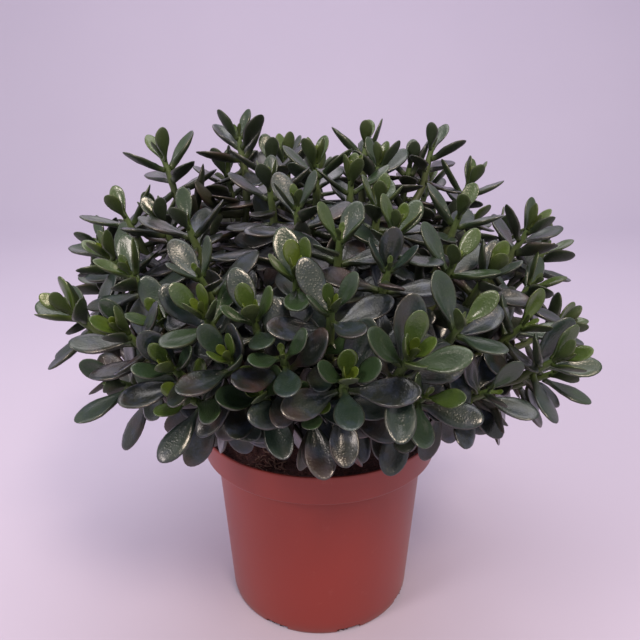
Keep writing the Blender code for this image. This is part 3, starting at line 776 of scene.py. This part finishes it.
def stem_path(start, start_way, end, end_way, count):
    """Points and directions along a smooth stem, without its start."""
    pull = (end - start).length * STEM_PULL
    places = [
        curve(start, start + start_way * pull, end - end_way * pull, end, step / count)
        for step in range(count + 1)
    ]
    ways = [(after - before).normalized() for before, after in zip(places, places[2:])]
    return list(zip(places[1:], ways + [end_way]))


def stem_shapes(lower, path, sideways, halves):
    """A stem's rings, the solids between them, and slightly wider solids to test with."""
    rings = [square(place, way, sideways, half) for (place, way), half in zip(path, halves)]
    wide = [
        square(place, way, sideways, half + CLEARANCE) for (place, way), half in zip(path, halves)
    ]
    solids = [prism(below, above) for below, above in zip([lower] + rings, rings)]
    checks = [prism(below, above) for below, above in zip([lower] + wide, wide)]
    return rings, solids, checks


def side_view(corners):
    """The middle of a side face and the way it looks."""
    return middle_of(corners), (corners[1] - corners[0]).cross(corners[3] - corners[0]).normalized()


def lay_limb(trunk, goal, way):
    """Grows a limb from the trunk to a goal and returns its last solid."""
    choices = []
    for face in trunk.faces_left:
        corners = [trunk.points[number] for number in face]
        middle, outward = side_view(corners)
        reach = goal - middle
        heading = reach.normalized()
        turn = LIMB_TURN * (1.0 - outward.dot(heading))
        climb = LIMB_CLIMB * max(0.0, LIMB_LEAST_RISE - heading.z)
        choices.append((reach.length + turn + climb, face, corners, middle, outward))
    choices.sort(key=lambda choice: choice[0])
    upright = Vector((0.0, 0.0, 1.0))
    for own_counts in (True, False):
        for cost, face, corners, middle, outward in choices:
            path = stem_path(middle, outward, goal, way, LIMB_PARTS)
            rings, solids, checks = stem_shapes(corners, path, upright, [LIMB_HALF] * LIMB_PARTS)
            blocked = False
            for number, check in enumerate(checks):
                for owner, other, short in laid:
                    root = number == 0 and other in trunk.solids
                    if owner is trunk and (root or not own_counts):
                        continue
                    blocked = blocked or check.meets(other)
            if blocked:
                continue
            trunk.faces_left.remove(face)
            inside = middle - outward * TRUNK_RADIUS * LIMB_ROOTING
            trunk.limbs.append([inside, middle] + [place for place, way in path])
            laid.extend((trunk, solid, solid) for solid in solids)
            return solids[-1]
    return None


buds = []
for name, leaf, tips in sprigs:
    middle = middle_of([tip.place for tip in tips])
    trunk = min(trunks, key=lambda trunk: (trunk.heart() - middle).length)
    heart = trunk.heart()
    way = (middle - heart).normalized()
    root = heart + (middle - heart) * LIMB_SHARE
    buds.append((name, leaf, tips, root, way, lay_limb(trunk, root, way)))

for number, trunk in enumerate(trunks):
    wood = Tube()
    steps = range(TRUNK_STEPS + 1)
    path = [trunk_point(trunk.azimuth, TRUNK_FOOT + step * TRUNK_STEP) for step in steps]
    wood.add(path, [trunk_radius(step) for step in steps], [0.0] * len(steps), TRUNK_FACETS)
    for limb in trunk.limbs:
        count = len(limb) - 1
        steps = range(count + 1)
        radii = [LIMB_HALF * (LIMB_SWELL - LIMB_TAPER * step / count) for step in steps]
        wood.add(limb, radii, [LIMB_YOUTH * step / count for step in steps])
    name = f"woody_stem_{number + 1}"
    shown(name, wood.mesh(name), stem_bark, "bark", f"stem_{number + 1}")


# ---------------------------------------------------------------- green shoots
# Each sprig is a soft green shoot, forked once, that carries opposite pairs of leaves at its ends.

SPRIG_HALF = 2.2
SPRIG_PARTS = 4
SIDE_SHOOT_HALF = 2.0
SIDE_SHOOT_PARTS = 3
BEARING_HALVES = (2.0, 2.0, 1.8, 1.6, 1.3)
PAIR_SHARES = (0.98, 1.0, 0.90, 0.70)
BENDS = (0.0, 0.3, -0.3, 0.6, -0.6)
FORK_STEPS = (1, 2)
FORK_TURN = 40.0
FORK_REACH = 0.3
SHOOT_SWELL = 1.12
BEARING_SWELL = 1.1


class Sprig(Body):
    """A green stem with one or two leafy ends, butted onto the end of a limb."""

    def __init__(self, name, leaf, tips, root, way, limb):
        super().__init__()
        self.name = name
        self.leaf = leaf
        self.tips = tips
        self.root = root
        self.way = way
        self.limb = limb
        self.buds = []
        self.shoots = []
        self.leaves = []

    def fitted(self, lower, path, sideways, halves, touching):
        """The rings and solids of a stem if its way is free, otherwise nothing."""
        rings, solids, checks = stem_shapes(lower, path, sideways, halves)
        for number, check in enumerate(checks):
            for owner, other, short in laid:
                if number < 2 and other in touching:
                    continue
                if check.meets(other):
                    return None
        return rings, solids

    def add_shoot(self, below, rings, tip, fork=None):
        """Adds a shoot's rings, and a bud for each leaf of its pairs; returns the fork's face."""
        first_pair = len(rings) - len(PAIR_SHARES)
        forked = None
        offset = 0
        for step, ring in enumerate(rings):
            numbers = self.ring(ring)
            if step == 0:
                offset = self.turned(below, numbers)[0] - numbers[0]
            numbers = numbers[offset:] + numbers[:offset]
            pair = step - first_pair
            sides = (pair % 2, pair % 2 + 2) if pair >= 0 else ()
            opened = [(side - offset) % 4 for side in sides]
            if fork and fork[0] == step:
                opened = [fork[1]]
            for face in self.wall(below, numbers, opened):
                if pair < 0:
                    forked = face
                    continue
                middle, outward = side_view([self.points[number] for number in face])
                outward = (outward - tip.axis * outward.dot(tip.axis)).normalized()
                self.buds.append((pair, face, tip.axis, outward))
            below = numbers
        return forked

    def find_fork(self, rings, solids):
        """The side face of the main shoot that the second tip is best reached from."""
        tip = self.tips[1]
        bearing = tip.bearing_path()
        choices = []
        for step in FORK_STEPS:
            lower, upper = rings[step - 1], rings[step]
            for side, corners in enumerate(wrapped(lower, upper)):
                middle, outward = side_view(corners)
                reach = bearing[0][0] - middle
                turn = FORK_TURN * (1.0 - outward.dot(reach.normalized()))
                cost = reach.length * FORK_REACH + turn
                choices.append((cost, step, side, corners, middle, outward))
        halves = [SIDE_SHOOT_HALF] * (SIDE_SHOOT_PARTS - 1) + list(BEARING_HALVES)
        choices.sort(key=lambda choice: choice[0])
        for cost, step, side, corners, middle, outward in choices:
            path = stem_path(middle, outward, bearing[0][0], tip.axis, SIDE_SHOOT_PARTS)
            beside = solids[step - 1:step + 2]
            found = self.fitted(corners, path[:-1] + bearing, tip.sideways, halves, beside)
            if found:
                return step, side, found
        return None

    def grow_stems(self):
        """Lays the main shoot and the side shoot, and tells whether there was room for them."""
        tip = self.tips[0]
        start = self.root + self.way * GAP
        base = square(start, self.way, tip.sideways, SPRIG_HALF)
        bearing = tip.bearing_path()
        halves = [SPRIG_HALF] * (SPRIG_PARTS - 1) + list(BEARING_HALVES)
        aside = self.way.cross(tip.sideways).normalized()
        found = None
        for bend in BENDS:
            way = (self.way + aside * bend).normalized()
            path = stem_path(start, way, bearing[0][0], tip.axis, SPRIG_PARTS)
            found = self.fitted(base, path[:-1] + bearing, tip.sideways, halves, (self.limb,))
            if found:
                break
        if not found:
            return False
        rings, solids = found
        self.shoots.append([self.root - self.way] + [middle_of(ring) for ring in rings])
        laid.extend((self, solid, solid) for solid in solids)
        fork = self.find_fork(rings, solids) if len(self.tips) > 1 else None
        below = self.ring(base)
        forked = self.add_shoot(below, rings, tip, fork)
        if fork:
            side_rings, side_solids = fork[2]
            joint = middle_of([self.points[number] for number in forked])
            self.shoots.append([joint] + [middle_of(ring) for ring in side_rings])
            laid.extend((self, solid, solid) for solid in side_solids)
            self.add_shoot(list(forked), side_rings, self.tips[1])
        return True


grown = [Sprig(*bud) for bud in buds]
grown = [sprig for sprig in grown if sprig.limb and sprig.grow_stems()]

green = Finish("green_shoot")
youth = green.stored("youth")
mottle = green.grain(2.2, 4.0)
colour = green.blended(mottle, (0.042, 0.050, 0.020), (0.080, 0.085, 0.038))
fresh = green.blended(mottle, (0.055, 0.095, 0.022), (0.085, 0.135, 0.035))
colour = green.blended(youth, colour, fresh)
shoot_skin = green.finished(
    {"Base Color": colour, "Roughness": 0.42 + 0.2 * mottle}, mottle, 0.25, 0.2,
)

for sprig in grown:
    shoots = Tube()
    for path in sprig.shoots:
        count = len(path) - 1
        radii = [SPRIG_HALF * SHOOT_SWELL] * (len(path) - len(BEARING_HALVES))
        radii += [half * BEARING_SWELL for half in BEARING_HALVES]
        shoots.add(path, radii, [min(1.0, (step / count) ** 1.5) for step in range(count + 1)])
    name = "shoot_" + sprig.name
    shown(name, shoots.mesh(name), shoot_skin, "bark")


# ---------------------------------------------------------------- leaves
# Opposite pairs of thick, fleshy, spoon-shaped leaves, each pair turned a right angle to the next.
# The youngest at the tips are bright and small; the oldest are dark, with a blue-grey waxy bloom on
# their upper faces that is partly a painted reflection of the pale surroundings.

LEAF_WIDTH = 0.225
LEAF_THICKNESS = 0.058
LEAF_CURL = 0.10
LEAF_WIDEST = 1.65
LEAF_WAIST = 0.85
LEAF_ROUNDING = 0.35
LEAF_THINNING = 0.25
LEAF_THINNEST = 1.0
LEAF_STALK = 1.3
LEAF_RINGS = ((0.30, 0.80), (0.25, 0.62, 0.90))
LEAF_TILTS = (0, 12, -12, 24, -24, 38)
LEAF_YAWS = (0, 14, -14, 28, -28)
YAW_COST = 1.2
STEEPEST_LEAF = 68.0
LARGE_LEAF = 25.0
NECK = 0.24
LEAF_SHRINKS = (1.0, 0.86, 0.72, 0.58)
LOWEST_LEAF = 116.0
LEAF_ABOVE_RIM = 4.0
LEAF_BESIDE_RIM = 5.0
LEAST_VIGOUR = 0.88
VIGOUR_TURN = 12.9
PAIR_PITCHES = (-8.0, 10.0, 32.0, 54.0)
PAIR_ORDER = (2, 3, 1, 0)
PAIR_AGES = (0.92, 0.78, 0.60, 0.38)
AGE_SPREAD = 0.17
AGE_TURNS = Vector((41.0, 67.0, 29.0))
YOUNG_PAIRS = ((0.40, 66.0, -0.5, 0.18), (0.22, 78.0, 1.5, 0.06))
YOUNG_SPREAD = 0.5
YOUNG_STALK = 0.6
OLD_STEPS = (3, 2, 1)
OLD_TURN = 0.6
OLD_SEAT = 0.8
OLD_STALK = 1.2
OLD_PITCH = 5.0
OLD_SHARE = 0.95
OLD_AGE = 0.92
LEAF_STATIONS = (0.0, 0.06, 0.15, 0.26, 0.38, 0.50, 0.62, 0.73, 0.82, 0.90, 0.955, 0.988)
LEAF_CORNERS = 12
LEAF_CUP = 0.09
LEAF_TWIST = 0.22
LEAF_DROOP = 0.05
LEAF_DENT = 0.35
LEAF_DENT_PITCH = 0.22
LEAF_EDGE = 0.8
CUP_MIDDLE = 0.45
CUP_BELOW = 0.6
STALK_HALF = 1.35
STALK_THICKNESS = 0.9
PIT_SIZE = 1.2
LEAF_COLOURS = (
    (0.0, (0.110, 0.155, 0.016)),
    (0.92, (0.014, 0.018, 0.015)),
    (0.18, (0.055, 0.092, 0.015)),
    (0.36, (0.026, 0.052, 0.017)),
    (0.62, (0.015, 0.029, 0.021)),
)


def leaf_width(share):
    """Half the width of a spoon-shaped leaf, as a share of its length."""
    return LEAF_WIDTH * math.sin(math.pi * share ** LEAF_WIDEST) ** (LEAF_WAIST - LEAF_ROUNDING * share)


def leaf_ring(base, along, face, length, share, grow):
    """Right edge, upper middle, left edge and lower middle of a leaf at a share of its length."""
    centre = base + along * length * share + face * length * LEAF_CURL * share * share
    right = face.cross(along)
    half = max(LEAF_STALK, length * leaf_width(share)) + grow
    thick = max(LEAF_THINNEST, length * LEAF_THICKNESS * (1.0 - LEAF_THINNING * share)) + grow
    return [centre + right * half, centre + face * thick, centre - right * half, centre - face * thick]


def leaf_tip(base, along, face, length, grow):
    """The point of a leaf."""
    return base + along * (length + grow) + face * length * LEAF_CURL


def leaf_shares(length):
    """Where along a leaf its rings lie; a large leaf has one more."""
    return LEAF_RINGS[length > LARGE_LEAF]


def leaf_solid(first, lie, grow):
    """The closed shape of a leaf from its first ring to its tip."""
    rings = [first] + [leaf_ring(*lie, share, grow) for share in leaf_shares(lie[-1])]
    points = [point for ring in rings for point in ring] + [leaf_tip(*lie, grow)]
    faces = [(3, 2, 1, 0)]
    for low in range(0, (len(rings) - 1) * 4, 4):
        faces += wrapped(list(range(low, low + 4)), list(range(low + 4, low + 8)))
    end = len(points) - 1
    faces += [(end - 4 + side, end - 4 + (side + 1) % 4, end) for side in range(4)]
    return Solid(points, faces)


def clear_of_pot(points):
    """Whether leaf points stay above the rim or well outside it."""
    for point in points:
        reach = math.hypot(point.x, point.y)
        if point.z < RIM_HEIGHT + LEAF_ABOVE_RIM and reach < RIM_RADIUS + LEAF_BESIDE_RIM:
            return False
        if point.z < LOWEST_LEAF:
            return False
    return True


POSES = sorted(
    ((tilt, yaw) for tilt in LEAF_TILTS for yaw in LEAF_YAWS),
    key=lambda pose: abs(pose[0]) + abs(pose[1]) * YAW_COST,
)


def leaf_poses(axis, outward, pitch, length):
    """The directions, upper faces and lengths a leaf may take, the most natural first."""
    across = axis.cross(outward)
    for shrink in LEAF_SHRINKS:
        for tilt, yaw in POSES:
            lift = math.radians(min(max(STEEPEST_LEAF, pitch), pitch + tilt))
            swing = math.radians(yaw)
            flat = outward * math.cos(swing) + across * math.sin(swing)
            along = (flat * math.cos(lift) + axis * math.sin(lift)).normalized()
            face = (axis - along * axis.dot(along)).normalized()
            yield along, face, length * shrink


def grow_leaf(sprig, corners, axis, outward, pitch, length, age):
    """Grows a leaf from four corners of a stem in the first free pose."""
    root = corners[1:] + corners[:1]
    base = middle_of(corners)
    for along, face, size in leaf_poses(axis, outward, pitch, length):
        lie = (base, along, face, size)
        whole = leaf_solid(root, lie, CLEARANCE)
        close = CLEARANCE * 0.5
        short = leaf_solid(leaf_ring(*lie, NECK, close), lie, close)
        if not is_free(sprig, whole, short):
            continue
        rings = [leaf_ring(*lie, share, 0.0) for share in leaf_shares(size)]
        if not clear_of_pot([point for ring in rings for point in ring] + [leaf_tip(*lie, 0.0)]):
            continue
        neck = leaf_ring(*lie, NECK, 0.0)
        laid.append((sprig, leaf_solid(root, lie, 0.0), leaf_solid(neck, lie, 0.0)))
        sprig.leaves.append((*lie, age))
        return


class Foliage:
    """Fleshy leaves gathered into one mesh, with what their finish needs kept at each point."""

    def __init__(self):
        self.points = []
        self.faces = []
        self.marks = {"age": [], "along": [], "across": [], "upper": [], "tone": []}

    def add(self, base, along, face, length, age):
        """Adds one leaf, bent, cupped and twisted a little in its own way."""
        first = len(self.points)
        seed = base * 0.37
        twist = LEAF_TWIST * noise.noise(seed)
        droop = LEAF_DROOP * noise.noise(seed + Vector((7.0, 0.0, 0.0)))
        cup = LEAF_CUP * (1.0 + 1.6 * noise.noise(seed + Vector((0.0, 5.0, 0.0))))
        tone = 0.5 + 0.6 * noise.noise(seed + Vector((3.0, 3.0, 3.0)))
        right = face.cross(along)
        for share in LEAF_STATIONS + (1.0,):
            tip_round = math.sqrt(max(0.0, 1.0 - share ** 7))
            half = max(STALK_HALF * (1.0 - share), length * leaf_width(share)) if share < 1.0 else 0.0
            swollen = length * LEAF_THICKNESS * (1.05 - 0.35 * share)
            thick = max(STALK_THICKNESS * (1.0 - share), swollen) * tip_round
            centre = base + along * length * share
            centre = centre + face * length * (LEAF_CURL + droop * share) * share * share
            turn = twist * share
            side = right * math.cos(turn) + face * math.sin(turn)
            up = face * math.cos(turn) - right * math.sin(turn)
            hollow = math.sin(math.pi * min(1.0, share * 0.9 + 0.1))
            for corner in range(LEAF_CORNERS if share < 1.0 else 1):
                angle = math.tau * corner / LEAF_CORNERS
                across = math.cos(angle)
                height = math.sin(angle)
                swell = math.copysign(abs(height) ** LEAF_EDGE, height) * thick
                lift = cup * length * hollow * (across * across - CUP_MIDDLE)
                if height < 0.0:
                    lift = lift * CUP_BELOW
                place = centre + side * half * across + up * (swell + lift)
                dent = LEAF_DENT * noise.noise(place * LEAF_DENT_PITCH)
                self.points.append(place + up * dent)
                for mark, value in zip(self.marks.values(), (age, share, across, height, tone)):
                    mark.append(value)
        count = LEAF_CORNERS
        last = first + (len(LEAF_STATIONS) - 1) * count
        for low in range(first, last, count):
            above = low + count
            for corner in range(count):
                after = (corner + 1) % count
                self.faces.append((low + corner, above + corner, above + after, low + after))
        for corner in range(count):
            self.faces.append((last + corner, last + count, last + (corner + 1) % count))
        self.faces.append(tuple(range(first, first + count)))

    def mesh(self, name):
        """The gathered leaves as one smooth mesh."""
        return smooth_mesh(name, self.points, self.faces, self.marks)


# The outer leaves are placed first in every sprig, then the older ones below them.
for rank in PAIR_ORDER:
    for sprig in grown:
        for pair, face, axis, outward in sprig.buds:
            if pair == rank:
                vigour = LEAST_VIGOUR + (1.0 - LEAST_VIGOUR) * math.sin(face[0] * VIGOUR_TURN) ** 2
                length = sprig.leaf * PAIR_SHARES[pair] * vigour
                corners = [sprig.points[number] for number in face]
                age = PAIR_AGES[pair] + AGE_SPREAD * math.sin(axis.dot(AGE_TURNS))
                grow_leaf(sprig, corners, axis, outward, PAIR_PITCHES[pair], length, age)

# Two pairs of unfolding leaves close each tip, further on at some tips than at others.
for sprig in grown:
    for tip in sprig.tips[:len(sprig.shoots)]:
        aside = tip.axis.cross(tip.sideways)
        vigour = 1.0 + YOUNG_SPREAD * math.sin(tip.place.x * VIGOUR_TURN)
        for number, (share, pitch, lead, age) in enumerate(YOUNG_PAIRS):
            for sign in (1.0, -1.0):
                outward = (aside if number % 2 else tip.sideways) * sign
                middle = tip.place - tip.axis * (PAIR_ENDS[-1] - lead) + outward * YOUNG_STALK
                corners = square(middle, outward, tip.axis, YOUNG_STALK)
                length = sprig.leaf * share * vigour
                grow_leaf(sprig, corners, tip.axis, outward, pitch, length, age)

# The oldest leaves sit lower down on the shoots, where there is still room for them.
for step in OLD_STEPS:
    for sprig in grown:
        for path in sprig.shoots:
            bare = len(path) - len(BEARING_HALVES)
            if step >= bare:
                continue
            axis = (path[step + 1] - path[step - 1]).normalized()
            for quarter in range(4):
                outward = axis.orthogonal().normalized()
                other = axis.cross(outward)
                turn = math.tau * quarter / 4.0 + step * OLD_TURN
                outward = outward * math.cos(turn) + other * math.sin(turn)
                middle = path[step] + outward * SPRIG_HALF * OLD_SEAT
                corners = square(middle, outward, axis, OLD_STALK)
                grow_leaf(sprig, corners, axis, outward, OLD_PITCH, sprig.leaf * OLD_SHARE, OLD_AGE)

skin = Finish("fleshy_leaf")
cloud = skin.grain(11.0, 4.0, 0.6)
fine = skin.grain(1.6, 4.0, 0.6)
age = skin.stored("age") + 0.28 * (cloud - 0.5) + 0.20 * (skin.stored("tone") - 0.5)
along = skin.stored("along")
across = skin.node("Math", {"operation": "ABSOLUTE"}, {0: skin.stored("across")})
colour = skin.node("ValToRGB", {"stops": LEAF_COLOURS}, {"Fac": age})
upper = skin.stepped(skin.stored("upper"), -0.5, 0.1)
# Blue-grey on the upper faces of old leaves: partly their real waxy bloom, partly a painted reflection
# of the pale lavender surroundings.
bloom_and_painted_reflection = skin.stepped(age, 0.40, 0.95) * skin.stepped(skin.grain(8.0, 5.0, 0.65), 0.44, 0.70) * upper
colour = skin.blended(bloom_and_painted_reflection * 0.80, colour, (0.036, 0.049, 0.084))
ruddy = skin.stepped(age, 0.50, 0.95) * skin.stepped(skin.grain(24.0, 3.0), 0.50, 0.66)
colour = skin.blended(ruddy * 0.70, colour, (0.052, 0.028, 0.024))
# Undersides painted darker: painted shade on the lower faces of the leaves, which face away from the
# lights.
colour = skin.blended((1.0 - upper) * 0.6, colour, (0.017, 0.026, 0.008))
margin = skin.stepped(across, 0.86, 1.0) * skin.stepped(along, 0.25, 0.6)
colour = skin.blended(margin * 0.18, colour, (0.105, 0.062, 0.034))
colour = skin.blended(skin.stepped(along, 0.24, 0.02) * 0.6, colour, (0.060, 0.090, 0.020))
pits = skin.node("TexVoronoi", {"feature": "F1"}, {
    "Vector": skin.node("TexCoord", output=3), "Scale": 1.0 / (PIT_SIZE * MILLIMETRE),
})
dots = skin.stepped(pits, 0.65, 0.05)
colour = skin.blended(dots * 0.04, colour, (0.16, 0.18, 0.13))
leaf_skin = skin.finished(
    {
        "Base Color": colour, "Roughness": 0.48 - 0.23 * upper + 0.10 * fine + 0.12 * bloom_and_painted_reflection,
        "Coat Weight": 0.08 + 0.37 * upper, "Coat Roughness": 0.20,
    },
    0.25 * fine + dots, 0.6, 0.11,
)

for sprig in grown:
    foliage = Foliage()
    for leaf in sprig.leaves:
        foliage.add(*leaf)
    name = "leaves_" + sprig.name
    shown(name, foliage.mesh(name), leaf_skin, "foliage", "sprig_" + sprig.name)


# ---------------------------------------------------------------- studio
# A pale pink-white sweep under large soft lights, seen from a little above the rim of the pot.

SWEEP_WIDTH = 5.0
SWEEP_FRONT = -2.5
SWEEP_BACK = 1.3
SWEEP_BEND = 0.8
SWEEP_TOP = 3.2
SWEEP_STEPS = 14
CAMERA_PLACE = (0.0, -0.411, 0.352)
CAMERA_TILT = 70.6
CAMERA_LENS = 36.0
CAMERA_SHIFT = 0.000625
AIR_COLOUR = (0.98, 0.93, 1.0, 1.0)
AIR_STRENGTH = 0.55
LIGHTS = (
    ("key", (0.32, -0.80, 1.10), 0.24, 9.5, (1.0, 0.82, 0.66), (0.0, 0.0, 0.18)),
    ("side", (-0.80, -0.65, 0.90), 0.26, 5.5, (1.0, 0.88, 0.82), (0.0, 0.0, 0.18)),
    ("back", (-0.20, 0.75, 1.10), 0.70, 1.5, (1.0, 0.93, 0.97), (0.0, 0.0, 0.18)),
    ("sweep", (0.0, 0.20, 2.60), 2.00, 46.0, (1.0, 0.96, 0.95), (0.0, 2.1, 1.5)),
)

sweep = Finish("pale_sweep")
tint = sweep.blended(sweep.grain(400.0, 2.0), (0.510, 0.460, 0.585), (0.545, 0.490, 0.615))
paper = sweep.finished({"Base Color": tint, "Roughness": 0.85 + 0.05 * sweep.grain(5.0)})
outline = [(SWEEP_FRONT, 0.0), (SWEEP_BACK, 0.0)]
for step in range(1, SWEEP_STEPS + 1):
    turn = math.pi * 0.5 * step / SWEEP_STEPS
    outline.append((SWEEP_BACK + SWEEP_BEND * math.sin(turn), SWEEP_BEND * (1.0 - math.cos(turn))))
outline.append((SWEEP_BACK + SWEEP_BEND, SWEEP_TOP))
floor_mesh = bpy.data.meshes.new("floor")
floor_mesh.from_pydata(
    [(side * SWEEP_WIDTH * 0.5, y, z) for y, z in outline for side in (-1, 1)], [],
    [(step * 2, step * 2 + 1, step * 2 + 3, step * 2 + 2) for step in range(len(outline) - 1)],
)
floor_mesh.shade_smooth()
floor_mesh.materials.append(paper)
placed("floor", floor_mesh)

for name, place, size, power, tint, aim in LIGHTS:
    lamp = bpy.data.lights.new(name, "AREA")
    lamp.size = size
    lamp.energy = power
    lamp.color = tint
    light = placed(name, lamp)
    light.location = place
    light.rotation_euler = (Vector(aim) - Vector(place)).to_track_quat("-Z", "Y").to_euler()

world = bpy.data.worlds.new("studio")
world.use_nodes = True
air = world.node_tree.nodes["Background"].inputs
air["Color"].default_value = AIR_COLOUR
air["Strength"].default_value = AIR_STRENGTH
bpy.context.scene.world = world
bpy.context.scene.view_settings.view_transform = "Standard"

lens = bpy.data.cameras.new("camera")
lens.lens = CAMERA_LENS
lens.sensor_width = CAMERA_LENS
lens.shift_x = CAMERA_SHIFT
camera = placed("camera", lens)
camera.location = CAMERA_PLACE
camera.rotation_euler = (math.radians(CAMERA_TILT), 0.0, 0.0)
bpy.context.scene.camera = camera
